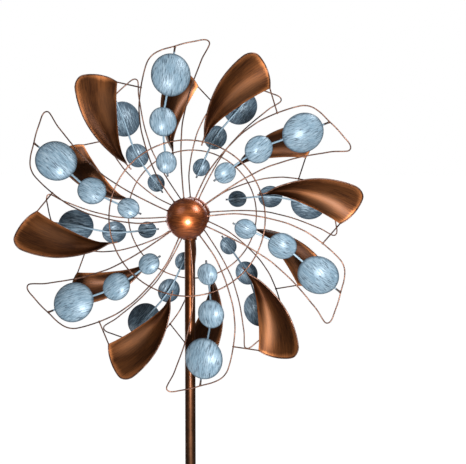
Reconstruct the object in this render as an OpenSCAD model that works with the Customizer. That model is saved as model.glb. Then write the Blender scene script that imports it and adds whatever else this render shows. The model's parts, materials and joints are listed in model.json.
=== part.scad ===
/* [Stand] */

// Height of the rotor axis above the ground line
hub_height = 1470; // [900:10:2000]
// Outside diameter of the pole
pole_od = 19; // [12:0.5:32]
// Wall thickness of the pole tube
pole_wall = 1.5; // [1:0.1:3]
// How many equal lengths the lower pole is cut into, above the stake
foot_len = 480; // [300:10:700]
// Length of the middle pole section
mid_len = 480; // [300:10:700]
// Length of the spigot that joins two pole sections
spigot_len = 35; // [20:1:80]
// Diameter of the pole screws
screw_d = 4; // [3:0.5:6]

/* [Head] */

// Outside diameter of the cross tube on top of the pole
boss_od = 26; // [20:0.5:40]
// Length of the cross tube
boss_len = 60; // [40:1:90]
// Wall of the socket that the pole enters
socket_wall = 3; // [2:0.5:6]
// How far the socket reaches below the rotor axis
socket_depth = 42; // [34:1:80]
// Diameter of the axle
axle_d = 12; // [8:1:20]
// Outside diameter of the spacers beside the cross tube
spacer_od = 20; // [14:0.5:32]
// Width across flats of the axle nuts
nut_af = 19; // [13:1:30]
// Height of the axle nuts
nut_h = 10; // [6:0.5:16]

/* [Rotors] */

// Outside diameter of the front rotor at its vane corners
front_dia = 612; // [400:2:900]
// Outside diameter of the back rotor at its vane corners
back_dia = 542; // [360:2:850]
// Distance between the planes of the two rotors
rotor_gap = 164; // [130:1:260]
// Diameter of the wire
wire_d = 2.4; // [1.6:0.1:4]
// Diameter of the front ring on its wire's centre line, as a share of the rotor's diameter
front_ring_share = 0.4346; // [0.425:0.0001:0.442]
// Diameter of the back ring, as a share of the rotor's diameter
back_ring_share = 0.4428; // [0.43:0.0001:0.448]
// Angle at which the front rotor stands
front_turn = 97.1; // [0:0.1:120]
// Angle at which the back rotor stands
back_turn = 126.2; // [0:0.1:160]
// How far the petal tips lie behind the rotor plane
tip_back = 24; // [0:1:36]

/* [Discs] */

// Diameter of the front rotor's large discs
front_big_d = 73; // [50:1:90]
// Diameter of the front rotor's middle discs
front_mid_d = 50; // [34:1:64]
// Diameter of the front rotor's small discs
front_small_d = 38; // [24:1:46]
// Diameter of the back rotor's large discs
back_big_d = 65; // [46:1:82]
// Diameter of the back rotor's middle discs
back_mid_d = 45; // [30:1:58]
// Diameter of the back rotor's small discs
back_small_d = 34; // [20:1:42]
// Height of the dome of a disc, as a share of its diameter
disc_dome = 0.19; // [0.05:0.01:0.25]
// Thickness of the disc sheet
disc_t = 1.2; // [0.8:0.1:2.5]
// Turn of the discs about their rod
disc_pitch = 16; // [0:1:45]
// Diameter of the rod behind the discs
rod_d = 3.4; // [2.4:0.1:5]

/* [Vanes] */

// Sheet thickness of the vanes
vane_t = 1.2; // [0.8:0.1:2.5]
// How deep the vanes are cupped
vane_cup = 16; // [4:1:30]
// How far the outer corner of a vane lies behind the rotor plane
vane_corner_back = 14; // [0:1:30]
// How far the free corner of a vane lies behind the rotor plane
vane_free_back = 38; // [10:1:50]

/* [Hubs] */

// Diameter of the front hub
front_hub_d = 71; // [60:1:90]
// Diameter of the back hub
back_hub_d = 66; // [58:1:86]
// Wall thickness of the domes
dome_wall = 2.5; // [1.5:0.1:4]
// Outside diameter of the bearings
bearing_od = 32; // [26:1:42]
// Width of the bearings
bearing_w = 10; // [7:1:14]
// Depth of the hub behind its wires
hub_back = 24; // [22:1:30]
// Where the dome meets the hub, in front of the wires
hub_front = 6; // [5:0.5:12]

/* [Stake] */

// Length of the spike below the ground line
spike_len = 257; // [150:1:400]
// Length of the spike's point
spike_point = 68; // [30:1:120]
// Outside diameter of the collar
collar_od = 26; // [22:0.5:44]
// Height of the collar
collar_h = 22; // [14:1:40]
// Diameter of the tines
tine_d = 6; // [4:0.5:10]
// Reach of the tines from the pole's centre line
tine_reach = 128; // [80:1:200]
// Length of the tines below the ground line
tine_len = 240; // [120:1:360]
// Inside radius of the bend of a tine
tine_bend = 10; // [6:1:24]
// Direction of the first tine
tine_turn = 292; // [0:1:359]

/* [Hidden] */

$fn = 64;
run_gap = 0.03;   // radial clearance of a bearing on the axle
face_gap = 0.3;   // between faces that turn past each other
slip = 0.05;      // radial clearance of a spigot

pole_id = pole_od - 2 * pole_wall;
pole_top_z = hub_height - boss_od / 2 - 3;
socket_od = pole_od + 2 * socket_wall;
spike_od = pole_od - 1;

front_ring_d = front_ring_share * front_dia;
back_ring_d = back_ring_share * back_dia;
// Rotor frames: [diameter, ring, big, mid, small, hub, turn, depth sign]
FRONT = [front_dia, front_ring_d, front_big_d, front_mid_d, front_small_d, front_hub_d, front_turn, 1];
BACK = [back_dia, back_ring_d, back_big_d, back_mid_d, back_small_d, back_hub_d, back_turn, -1];
nominal = 612;    // the rotor size that the outline radii below are drawn for

// Outline of a petal: radius and angle from the petal's own line
PETAL = [[58, 29.6], [80, 28.8], [104, 26.4], [125.5, 24.3], [148.5, 22.1], [170, 20.2], [189, 18.1],
  [205.5, 16.3], [220, 14.4], [234, 12.6], [249.5, 10.6], [265, 8.6], [276.5, 6.9], [285, 4.6],
  [290, 1.4], [293, -2.4], [297.5, -6], [301.5, -9.6], [305, -12.2], [304.5, -13.7], [299.5, -14.4],
  [290, -13.9], [273.5, -12.5], [256, -11.4], [234, -9.8], [207.5, -7.8], [183, -6.1], [160, -4.3],
  [137.5, -3.2], [116.5, -2.2], [91, -1.2], [65, -0.3]];
// Discs on a petal's rod: radius and angle, from the outside in
DISCS = [[245, -0.7], [169, 6.7], [101, 12.8]];
ROD_OUT = [292, -3.0];
// Spine and free edge of a vane, and its outer edge between them
SPINE = [[138, 40.4], [152, 41.6], [167, 42.2], [199, 41.6], [235, 39.6], [271, 36.2], [306, 32.0]];
FREE = [[139, 40.0], [148, 38.9], [158, 37.7], [177, 34.2], [203, 29.4], [233, 24.8], [264, 20.5]];
OUTER = [[306, 32.0], [302.5, 29.0], [295.5, 26.4], [287, 24.2], [276, 22.1], [264, 20.5]];
// The vane's wire, from the ring along the spine, round the outside, to the petal
VWIRE_IN = [[126, 41.5], [138, 40.9]];
VWIRE_OUT = [[255, 18.4], [246, 15.5], [236, 12.4]];

function k(c) = c[0] / nominal;
function at(c, p, y) = [k(c) * p[0] * cos(p[1]), c[7] * y, k(c) * p[0] * sin(p[1])];
function unit(v) = v / norm(v);
function petal_y(r) = tip_back * pow(max(0, (r - 40) / 262), 1.5);
function ring_y(c) = petal_y(c[1] / 2 / k(c));

// A wire swept along points, with eight sides
module sweep(p, r, n = 8) {
  m = len(p);
  t = [for (i = [0 : m - 1]) unit(p[min(i + 1, m - 1)] - p[max(i - 1, 0)])];
  v = [for (i = [0 : m - 1]) let (a = unit(cross(t[i], [0, 1, 0])), b = cross(t[i], a))
    for (j = [0 : n - 1]) p[i] + r * (a * cos(360 * j / n) + b * sin(360 * j / n))];
  f = concat([[for (j = [0 : n - 1]) j]], [[for (j = [n - 1 : -1 : 0]) (m - 1) * n + j]],
    [for (i = [0 : m - 2]) for (j = [0 : n - 1]) for (h = [0, 1]) let (q = (j + 1) % n)
      h == 0 ? [i * n + j, (i + 1) * n + j, (i + 1) * n + q] : [i * n + j, (i + 1) * n + q, i * n + q]]);
  polyhedron(points = v, faces = f);
}

module place(c) {
  translate([0, -c[7] * rotor_gap / 2, hub_height]) children();
}

module about(c, i) {
  place(c) rotate([0, -(c[6] - 60 * i), 0]) children();
}

// One petal: a wire loop from the hub out and back
module petal(c, i) {
  r_in = (c[5] / 2 - 3) / k(c);
  pts = concat([[r_in, 30.2]], PETAL, [[r_in, 1.2]]);
  about(c, i) sweep([for (p = pts) at(c, p, petal_y(p[0]))], wire_d / 2);
}

// A domed round sheet, facing -Y, with its rim at y = 0
module dome_disc(d) {
  h = disc_dome * d;
  rs = (d * d / 4 + h * h) / (2 * h);
  a = asin(d / 2 / rs);
  rotate([90, 0, 0]) rotate_extrude() polygon(concat(
    [[0, h], [0, h - disc_t]],
    [for (s = [1 : 8]) let (q = a * s / 8) [(rs - disc_t) * sin(q), h - rs + (rs - disc_t) * cos(q)]],
    [for (s = [8 : -1 : 1]) let (q = a * s / 8) [rs * sin(q), h - rs + rs * cos(q)]]));
}

// The line of a petal's rod: from the outer wire through the middle of each disc
function rod_line(c) = concat([at(c, ROD_OUT, petal_y(ROD_OUT[0]))], [for (p = DISCS) at(c, p, petal_y(p[0]))]);

// The three discs of a petal, welded in front of their rod
module disc_row(c, i) {
  q = rod_line(c);
  about(c, i) for (n = [1 : 3]) {
    along = n < 3 ? q[n] - q[n + 1] : q[2] - q[3];
    translate(q[n] - [0, c[7] * (rod_d / 2 - 0.4), 0]) rotate([0, -atan2(along[2], along[0]), 0])
      rotate([c[7] * disc_pitch, 0, 0]) mirror([0, c[7] > 0 ? 0 : 1, 0]) dome_disc(c[1 + n]);
  }
}

// The rods of one rotor
module rods(c) {
  q = rod_line(c);
  for (i = [0 : 5]) about(c, i)
    sweep(concat([q[0], q[1], q[2]], [q[3] + unit(q[3] - q[2]) * (c[4] / 2 + 5)]), rod_d / 2);
}

function lerp(a, b, t) = a + (b - a) * t;
function vane_xy(i, j) = let (u = i / 6, v = j / 5, s = SPINE[i], f = FREE[i],
  o = OUTER[j] - lerp(OUTER[0], OUTER[5], v)) lerp(s, f, v) + o * pow(u, 4);
function vane_y(i, j) = let (u = i / 6, v = j / 5)
  lerp(vane_corner_back * u, vane_free_back * pow(u, 1.2), v)
  + 4 * v * (1 - v) * vane_cup * pow(sin(150 * u), 0.8) * (0.55 + 0.45 * u);

// One cupped vane
module vane(c, i) {
  nv = 6;
  front = [for (a = [0 : 6]) for (b = [0 : nv - 1]) at(c, vane_xy(a, b), ring_y(c) + vane_y(a, b) - vane_t * 0.6)];
  rear = [for (a = [0 : 6]) for (b = [0 : nv - 1]) at(c, vane_xy(a, b), ring_y(c) + vane_y(a, b) + vane_t * 0.6)];
  n = 7 * nv;
  rim = concat([for (b = [0 : nv - 1]) b], [for (a = [1 : 6]) a * nv + nv - 1],
    [for (b = [nv - 2 : -1 : 0]) 6 * nv + b], [for (a = [5 : -1 : 1]) a * nv]);
  m = len(rim);
  f = concat(
    [for (a = [0 : 5]) for (b = [0 : nv - 2]) for (h = [0, 1]) let (q = a * nv + b)
      h == 0 ? [q, q + 1, q + nv + 1] : [q, q + nv + 1, q + nv]],
    [for (a = [0 : 5]) for (b = [0 : nv - 2]) for (h = [0, 1]) let (q = n + a * nv + b)
      h == 0 ? [q, q + nv + 1, q + 1] : [q, q + nv, q + nv + 1]],
    [for (a = [0 : m - 1]) for (h = [0, 1]) let (q = rim[a], w = rim[(a + 1) % m])
      h == 0 ? [q, n + q, n + w] : [q, n + w, w]]);
  about(c, i) polyhedron(points = concat(front, rear),
    faces = c[7] > 0 ? f : [for (w = f) [w[0], w[2], w[1]]]);
}

// The wire along the edge of every vane, welded to the ring and to the petal
module vane_wire(c) {
  edge = concat(
    [for (p = VWIRE_IN) at(c, p, ring_y(c))],
    [for (a = [1 : 6]) at(c, vane_xy(a, 0), ring_y(c) + vane_y(a, 0) - vane_t)],
    [for (b = [1 : 5]) at(c, vane_xy(6, b), ring_y(c) + vane_y(6, b) - vane_t)],
    [for (s = [1 : 3]) let (p = VWIRE_OUT[s - 1])
      at(c, p, lerp(ring_y(c) + vane_free_back - vane_t, petal_y(p[0]) + 0.4, s / 3))]);
  for (i = [0 : 5]) about(c, i) sweep(edge, wire_d / 2);
}

module ring(c) {
  place(c) translate([0, c[7] * (ring_y(c) - wire_d + 0.3), 0]) rotate([90, 0, 0])
    rotate_extrude($fn = 96) translate([c[1] / 2, 0]) circle(d = wire_d, $fn = 24);
}

// Hub: the rear part of the ball, bored for two bearings
module hub(c) {
  r = c[5] / 2;
  place(c) rotate([c[7] > 0 ? 90 : -90, 0, 0]) difference() {
    intersection() {
      sphere(r = r, $fn = 96);
      union() {
        translate([0, 0, -hub_back]) cylinder(r = r + 1, h = hub_back + hub_front);
        translate([0, 0, hub_front - 1]) cylinder(r = r - dome_wall - 1.6, h = 4);
      }
    }
    translate([0, 0, -hub_back - 1]) cylinder(d = bearing_od, h = bearing_w + 1);
    translate([0, 0, -hub_back - 1]) cylinder(d = bearing_od - 6, h = hub_back + hub_front + 6);
    translate([0, 0, hub_front - 1 - bearing_w]) cylinder(d = bearing_od, h = bearing_w + 6);
  }
}

// Dome: the spun cap over the nut
module dome(c) {
  r = c[5] / 2;
  place(c) rotate([c[7] > 0 ? 90 : -90, 0, 0]) difference() {
    intersection() {
      sphere(r = r, $fn = 96);
      translate([0, 0, hub_front]) cylinder(r = r + 1, h = r);
    }
    sphere(r = r - dome_wall, $fn = 96);
  }
}

module bearings(c) {
  place(c) rotate([c[7] > 0 ? 90 : -90, 0, 0])
    for (z = [-hub_back, hub_front - 1 - bearing_w]) translate([0, 0, z]) difference() {
      cylinder(d = bearing_od, h = bearing_w);
      translate([0, 0, -1]) cylinder(d = axle_d + 2 * run_gap, h = bearing_w + 2);
    }
}

// Axle stack, measured from each rotor plane outward
nut_seat = hub_front - 1 + face_gap;
washer_t = 2;
axle_half = rotor_gap / 2 + nut_seat + washer_t + nut_h + 2;

module axle() color("dimgray") translate([0, axle_half, hub_height])
  rotate([90, 0, 0]) cylinder(d = axle_d, h = 2 * axle_half);

module washers() color("silver") for (c = [FRONT, BACK]) place(c) rotate([c[7] > 0 ? 90 : -90, 0, 0])
  translate([0, 0, nut_seat]) difference() {
    cylinder(d = axle_d * 1.9, h = washer_t);
    translate([0, 0, -1]) cylinder(d = axle_d, h = washer_t + 2);
  }

module nuts() color("gray") for (c = [FRONT, BACK]) place(c) rotate([c[7] > 0 ? 90 : -90, 0, 0])
  translate([0, 0, nut_seat + washer_t]) difference() {
    cylinder(d = nut_af / cos(30), h = nut_h, $fn = 6);
    translate([0, 0, -1]) cylinder(d = axle_d, h = nut_h + 2);
  }

module spacers() color("saddlebrown") for (c = [FRONT, BACK]) place(c)
  rotate([c[7] > 0 ? 90 : -90, 0, 0]) translate([0, 0, -(rotor_gap - boss_len) / 2]) difference() {
    h = (rotor_gap - boss_len) / 2 - hub_back - face_gap;
    cylinder(d = spacer_od, h = h);
    translate([0, 0, -1]) cylinder(d = axle_d, h = h + 2);
  }

// Cross tube and socket on top of the pole
module pole_head() color("saddlebrown") translate([0, 0, hub_height]) difference() {
  union() {
    rotate([90, 0, 0]) cylinder(d = boss_od, h = boss_len, center = true);
    translate([0, 0, -socket_depth]) cylinder(d = socket_od, h = socket_depth - 1);
  }
  rotate([90, 0, 0]) cylinder(d = axle_d, h = boss_len + 2, center = true);
  translate([0, 0, -socket_depth - 1]) cylinder(d = pole_od, h = socket_depth + 1 - boss_od / 2 - 3);
  translate([0, 0, screw_z_head - hub_height]) rotate([-90, 0, 0]) cylinder(d = screw_d, h = socket_od);
}

screw_z_head = hub_height - (socket_depth + boss_od / 2 + 3) / 2;

module tube(z0, z1) translate([0, 0, z0]) difference() {
  cylinder(d = pole_od, h = z1 - z0);
  translate([0, 0, -1]) cylinder(d = pole_id, h = z1 - z0 + 2);
}

module screw_hole(z) translate([0, 0, z]) rotate([-90, 0, 0]) cylinder(d = screw_d, h = pole_od);

// A spigot fixed in the upper end of a section
module spigot(z) translate([0, 0, z - spigot_len / 2]) difference() {
  cylinder(d = pole_id, h = spigot_len / 2);
  translate([0, 0, -1]) cylinder(d = pole_id - 3, h = spigot_len + 3);
}

module spigot_free(z) translate([0, 0, z]) difference() {
  cylinder(d = pole_id - 2 * slip, h = spigot_len);
  translate([0, 0, -1]) cylinder(d = pole_id - 3, h = spigot_len + 2);
}

mid_z = foot_len;
top_z = foot_len + mid_len;

module pole_foot() color("sienna") difference() {
  union() { tube(0, mid_z); spigot(mid_z); spigot_free(mid_z); }
  screw_hole(mid_z + spigot_len / 2);
}

module pole_mid() color("peru") difference() {
  union() { tube(mid_z, top_z); spigot(top_z); spigot_free(top_z); }
  screw_hole(mid_z + spigot_len / 2);
  screw_hole(top_z + spigot_len / 2);
}

module pole_top() color("sienna") difference() {
  tube(top_z, pole_top_z);
  screw_hole(top_z + spigot_len / 2);
  screw_hole(screw_z_head);
}

// Screws: a round head outside and a shank through the wall
module screw(z, r_out) translate([0, 0, z]) rotate([-90, 0, 0]) {
  translate([0, 0, pole_id / 2 - 2.2]) cylinder(d = screw_d, h = r_out - pole_id / 2 + 2.2);
  translate([0, 0, r_out]) cylinder(d = screw_d * 1.9, h = screw_d * 0.55);
}

module screws() color("dimgray") {
  screw(mid_z + spigot_len / 2, pole_od / 2);
  screw(top_z + spigot_len / 2, pole_od / 2);
  screw(screw_z_head, socket_od / 2);
}

// Stake
module collar() color("saddlebrown") difference() {
  cylinder(d = collar_od, h = collar_h);
  translate([0, 0, -1]) cylinder(d = pole_od, h = collar_h + 2);
}

module spike() color("sienna") {
  translate([0, 0, -spike_len]) cylinder(d1 = 1.5, d2 = spike_od, h = spike_point);
  translate([0, 0, spike_point - spike_len]) cylinder(d = spike_od, h = spike_len - spike_point);
  cylinder(d = pole_id - 2 * slip, h = collar_h * 2);
}

module tines() color("peru") for (i = [0 : 2]) rotate([0, 0, tine_turn + 120 * i]) {
  rb = tine_bend + tine_d / 2;
  z = collar_h / 2;
  translate([collar_od / 2 - 1, 0, z]) rotate([0, 90, 0])
    cylinder(d = tine_d, h = tine_reach - rb - collar_od / 2 + 1);
  translate([tine_reach - rb, 0, z - rb]) rotate([90, 0, 0])
    rotate_extrude(angle = 90) translate([rb, 0]) circle(d = tine_d, $fn = 32);
  translate([tine_reach, 0, tine_d * 2 - tine_len]) cylinder(d = tine_d, h = z - rb + tine_len - tine_d * 2);
  translate([tine_reach, 0, -tine_len]) cylinder(d1 = 1, d2 = tine_d, h = tine_d * 2);
}

BLUE = "lightsteelblue";

module front_hub() color("peru") hub(FRONT);
module front_dome() color("chocolate") dome(FRONT);
module front_bearings() color("silver") bearings(FRONT);
module front_ring() color("sienna") ring(FRONT);
module front_vane_wires() color("sienna") vane_wire(FRONT);
module front_rods() color(BLUE) rods(FRONT);
module front_petal_1() color("sienna") petal(FRONT, 0);
module front_petal_2() color("sienna") petal(FRONT, 1);
module front_petal_3() color("sienna") petal(FRONT, 2);
module front_petal_4() color("sienna") petal(FRONT, 3);
module front_petal_5() color("sienna") petal(FRONT, 4);
module front_petal_6() color("sienna") petal(FRONT, 5);
module front_discs_1() color(BLUE) disc_row(FRONT, 0);
module front_discs_2() color(BLUE) disc_row(FRONT, 1);
module front_discs_3() color(BLUE) disc_row(FRONT, 2);
module front_discs_4() color(BLUE) disc_row(FRONT, 3);
module front_discs_5() color(BLUE) disc_row(FRONT, 4);
module front_discs_6() color(BLUE) disc_row(FRONT, 5);
module front_vane_1() color("chocolate") vane(FRONT, 0);
module front_vane_2() color("chocolate") vane(FRONT, 1);
module front_vane_3() color("chocolate") vane(FRONT, 2);
module front_vane_4() color("chocolate") vane(FRONT, 3);
module front_vane_5() color("chocolate") vane(FRONT, 4);
module front_vane_6() color("chocolate") vane(FRONT, 5);
module back_hub() color("peru") hub(BACK);
module back_dome() color("chocolate") dome(BACK);
module back_bearings() color("silver") bearings(BACK);
module back_ring() color("sienna") ring(BACK);
module back_vane_wires() color("sienna") vane_wire(BACK);
module back_rods() color(BLUE) rods(BACK);
module back_petal_1() color("sienna") petal(BACK, 0);
module back_petal_2() color("sienna") petal(BACK, 1);
module back_petal_3() color("sienna") petal(BACK, 2);
module back_petal_4() color("sienna") petal(BACK, 3);
module back_petal_5() color("sienna") petal(BACK, 4);
module back_petal_6() color("sienna") petal(BACK, 5);
module back_discs_1() color(BLUE) disc_row(BACK, 0);
module back_discs_2() color(BLUE) disc_row(BACK, 1);
module back_discs_3() color(BLUE) disc_row(BACK, 2);
module back_discs_4() color(BLUE) disc_row(BACK, 3);
module back_discs_5() color(BLUE) disc_row(BACK, 4);
module back_discs_6() color(BLUE) disc_row(BACK, 5);
module back_vane_1() color("chocolate") vane(BACK, 0);
module back_vane_2() color("chocolate") vane(BACK, 1);
module back_vane_3() color("chocolate") vane(BACK, 2);
module back_vane_4() color("chocolate") vane(BACK, 3);
module back_vane_5() color("chocolate") vane(BACK, 4);
module back_vane_6() color("chocolate") vane(BACK, 5);

pole_foot();
pole_mid();
pole_top();
pole_head();
screws();
collar();
spike();
tines();
axle();
spacers();
washers();
nuts();
front_hub();
front_dome();
front_bearings();
front_ring();
front_vane_wires();
front_rods();
front_petal_1();
front_petal_2();
front_petal_3();
front_petal_4();
front_petal_5();
front_petal_6();
front_discs_1();
front_discs_2();
front_discs_3();
front_discs_4();
front_discs_5();
front_discs_6();
front_vane_1();
front_vane_2();
front_vane_3();
front_vane_4();
front_vane_5();
front_vane_6();
back_hub();
back_dome();
back_bearings();
back_ring();
back_vane_wires();
back_rods();
back_petal_1();
back_petal_2();
back_petal_3();
back_petal_4();
back_petal_5();
back_petal_6();
back_discs_1();
back_discs_2();
back_discs_3();
back_discs_4();
back_discs_5();
back_discs_6();
back_vane_1();
back_vane_2();
back_vane_3();
back_vane_4();
back_vane_5();
back_vane_6();
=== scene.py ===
import json
import math
import bmesh
import bpy
import numpy as np
from mathutils import Matrix, Vector


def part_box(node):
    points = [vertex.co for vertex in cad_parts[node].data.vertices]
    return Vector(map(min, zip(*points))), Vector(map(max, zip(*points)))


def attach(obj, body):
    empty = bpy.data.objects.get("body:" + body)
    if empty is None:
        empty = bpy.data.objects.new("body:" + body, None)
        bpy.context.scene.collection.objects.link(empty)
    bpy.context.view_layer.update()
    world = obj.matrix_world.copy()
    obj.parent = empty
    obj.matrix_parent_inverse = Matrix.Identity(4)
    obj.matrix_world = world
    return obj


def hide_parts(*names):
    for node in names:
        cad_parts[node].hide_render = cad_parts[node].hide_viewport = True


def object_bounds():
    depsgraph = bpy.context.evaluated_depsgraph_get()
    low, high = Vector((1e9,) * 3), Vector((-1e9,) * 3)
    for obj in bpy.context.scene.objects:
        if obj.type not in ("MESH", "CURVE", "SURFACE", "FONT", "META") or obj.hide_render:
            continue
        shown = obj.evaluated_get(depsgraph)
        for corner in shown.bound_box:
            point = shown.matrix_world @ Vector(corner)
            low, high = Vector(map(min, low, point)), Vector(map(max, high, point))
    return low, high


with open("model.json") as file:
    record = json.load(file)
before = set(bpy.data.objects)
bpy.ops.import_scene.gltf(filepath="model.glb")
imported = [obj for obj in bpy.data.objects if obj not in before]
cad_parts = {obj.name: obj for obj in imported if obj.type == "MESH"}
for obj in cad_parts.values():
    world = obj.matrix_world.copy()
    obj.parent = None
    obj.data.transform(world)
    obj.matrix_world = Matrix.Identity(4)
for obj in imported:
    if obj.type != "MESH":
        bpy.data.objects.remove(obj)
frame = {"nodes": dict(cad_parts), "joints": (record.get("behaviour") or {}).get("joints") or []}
cad_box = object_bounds()


# The pole. Three lengths of steel tube with a bronze coating, pushed together on spigots.
# The coating is dark, with copper showing through in long wipes, and painted shade makes it browner
# lower down.

MM = 0.001


class Value:
    """A socket of a shader tree that takes part in arithmetic."""

    def __init__(self, tree, socket):
        self.tree, self.socket = tree, socket

    def _math(self, operation, *terms):
        node = self.tree.nodes.new("ShaderNodeMath")
        node.operation = operation
        for slot, term in zip(node.inputs, terms):
            if isinstance(term, Value):
                self.tree.links.new(term.socket, slot)
            else:
                slot.default_value = term
        return Value(self.tree, node.outputs[0])

    def __add__(self, other):
        return self._math("ADD", self, other)

    def __sub__(self, other):
        return self._math("SUBTRACT", self, other)

    def __rsub__(self, other):
        return self._math("SUBTRACT", other, self)

    def __mul__(self, other):
        return self._math("MULTIPLY", self, other)

    __radd__, __rmul__ = __add__, __mul__


class Finish:
    """A material that is put together node by node around one Principled shader."""

    def __init__(self, name, **fixed):
        self.material = bpy.data.materials.new(name)
        self.material.use_nodes = True
        self.tree = self.material.node_tree
        self.tree.nodes.clear()
        self.surface = self.tree.nodes.new("ShaderNodeBsdfPrincipled")
        output = self.tree.nodes.new("ShaderNodeOutputMaterial")
        self.tree.links.new(self.surface.outputs[0], output.inputs["Surface"])
        for socket, value in fixed.items():
            self.surface.inputs[socket.replace("_", " ")].default_value = value

    def node(self, kind, settings, sockets, output=0):
        made = self.tree.nodes.new("ShaderNode" + kind)
        for name, value in settings.items():
            if name == "stops":
                ramp = made.color_ramp
                while len(ramp.elements) < len(value):
                    ramp.elements.new(0.5)
                for element, (place, colour) in zip(ramp.elements, value):
                    element.position, element.color = place, colour
            else:
                setattr(made, name, value)
        for name, value in sockets.items():
            self._fill(made.inputs[name], value)
        return Value(self.tree, made.outputs[output])

    def _fill(self, slot, value):
        if isinstance(value, Value):
            self.tree.links.new(value.socket, slot)
        else:
            slot.default_value = value

    def set(self, socket, value):
        self._fill(self.surface.inputs[socket], value)

    def place(self, scale=(1, 1, 1), turn=(0, 0, 0), centre=(0, 0, 0)):
        """Object coordinates, centred, turned and scaled."""
        spot = self.node("TexCoord", {}, {}, "Object")
        return self.node("Mapping", {}, {"Vector": spot, "Location": centre,
                                         "Rotation": turn, "Scale": scale})

    def noise(self, place, scale, detail=3.0, rough=0.5, distort=0.0):
        return self.node("TexNoise", {}, {"Vector": place, "Scale": scale, "Detail": detail,
                                          "Roughness": rough, "Distortion": distort})

    def step(self, value, low, high):
        """0 below low, 1 above high, smooth between."""
        return self.node("MapRange", {"interpolation_type": "SMOOTHSTEP"},
                         {"Value": value, "From Min": low, "From Max": high})

    def mix(self, factor, first, second):
        return self.node("Mix", {"data_type": "RGBA"},
                         {"Factor": factor, 6: first, 7: second}, 2)

    def relief(self, height, depth, strength=1.0):
        self.set("Normal", self.node("Bump", {}, {"Height": height, "Strength": strength,
                                                  "Distance": depth}))


def bronze_finish(hub_height):
    """Painted shade turns the coating from bright to brown between two heights below the hubs."""
    paint = Finish("bronze_finish", Metallic=0.95, Coat_Weight=0.15, Coat_Roughness=0.15)
    lit_above, shaded_below = hub_height - 60 * MM, hub_height - 460 * MM
    long_wipe = paint.noise(paint.place(scale=(60, 60, 6)), 1.0, 4.0, 0.6, 0.4)
    mottle = paint.noise(paint.place(), 90.0, 5.0, 0.6)
    fleck = paint.noise(paint.place(), 900.0, 2.0)
    worn = paint.step(long_wipe * 0.6 + mottle * 0.4, 0.38, 0.68)
    height = paint.node("SeparateXYZ", {}, {"Vector": paint.place()}, "Z")
    # Painted shade: the colour darkens from bright to brown lower down the pole.
    painted_shade_low = paint.step(height, lit_above, shaded_below)
    metal = paint.mix(worn, (0.13, 0.038, 0.012, 1), (0.27, 0.088, 0.028, 1))
    shaded_metal = paint.mix(worn, (0.045, 0.022, 0.011, 1), (0.10, 0.043, 0.02, 1))
    paint.set("Base Color", paint.mix(painted_shade_low, metal, shaded_metal))
    paint.set("Roughness", mottle * 0.16 + painted_shade_low * 0.12 + 0.3)
    paint.relief(fleck * 0.6 + mottle, 0.00003, 0.4)
    return paint.material


def rounded(outline, radius=0.4 * MM):
    """An outline of (radius, height) pairs with its corners cut by a small round.
    One that starts and ends on the axis keeps those two points as they are."""
    ring = outline[0][0] > 0
    corners = [outline[-1]] + outline + [outline[0]] if ring else outline
    out = [] if ring else [outline[0]]
    for before, corner, after in zip(corners, corners[1:], corners[2:]):
        corner, before, after = Vector(corner), Vector(before), Vector(after)
        back, on = before - corner, after - corner
        cut = min(radius, back.length / 2.2, on.length / 2.2)
        start, end = corner + back.normalized() * cut, corner + on.normalized() * cut
        for step in (0, 0.33, 0.67, 1):
            out.append(tuple(start.lerp(corner, step).lerp(corner.lerp(end, step), step)))
    return out if ring else out + [outline[-1]]


def lathe(outline, segments=64):
    """A turned solid about Z from an outline of (radius, height) pairs, closed into a ring
    unless it starts and ends on the axis."""
    mesh = bmesh.new()
    angles = np.linspace(0, 2 * math.pi, segments, endpoint=False)
    rings = [[mesh.verts.new((r * math.cos(a), r * math.sin(a), z)) for a in angles]
             if r > 1e-7 else [mesh.verts.new((0, 0, z))] for r, z in outline]
    if outline[0][0] > 1e-7:
        rings.append(rings[0])
    for low, high in zip(rings, rings[1:]):
        for i in range(segments):
            j = (i + 1) % segments
            corners = [low[i % len(low)], low[j % len(low)], high[j % len(high)], high[i % len(high)]]
            corners = list(dict.fromkeys(corners))
            if len(corners) > 2:
                mesh.faces.new(corners)
    bmesh.ops.recalc_face_normals(mesh, faces=mesh.faces)
    return mesh


def piece(name, mesh, finish, sharp=40):
    """A bmesh made into a finished object, smooth except over sharp edges."""
    data = bpy.data.meshes.new(name)
    mesh.to_mesh(data)
    mesh.free()
    data.materials.append(finish)
    made = bpy.data.objects.new(name, data)
    bpy.context.scene.collection.objects.link(made)
    for face in data.polygons:
        face.use_smooth = True
    data.set_sharp_from_angle(angle=math.radians(sharp))
    return made


def seat(made, body, slot, *nodes):
    """The last step of every piece: its body and the parts it replaces. The slot, the finish it stands
    for, is not used.
    """
    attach(made, body)
    if nodes:
        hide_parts(*nodes)


bronze = bronze_finish(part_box("axle")[1].z)
low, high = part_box("pole_foot")
pole_r = high.x
tube_wall, spigot, spigot_wall, slip = 1.5 * MM, 35 * MM, 1.5 * MM, 0.05 * MM
for name in ("pole_foot", "pole_mid", "pole_top"):
    low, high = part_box(name)
    top = high.z if name == "pole_top" else high.z - spigot
    outline = [(pole_r - tube_wall, low.z), (pole_r, low.z), (pole_r, top)]
    if name == "pole_top":
        outline += [(pole_r - tube_wall, top)]
    else:
        outside, inside = pole_r - tube_wall - slip, pole_r - tube_wall - spigot_wall
        outline += [(outside, top), (outside, high.z), (inside, high.z), (inside, top - spigot / 2),
                    (pole_r - tube_wall, top - spigot / 2)]
    seat(piece(name + "_tube", lathe(rounded(outline, 0.5 * MM), 48), bronze),
         "stand", "bronze_finish", name)


# The screws. Three small round-headed steel screws, one through each pole joint
# and one through the head's socket, all on the far side of the pole.

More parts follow.
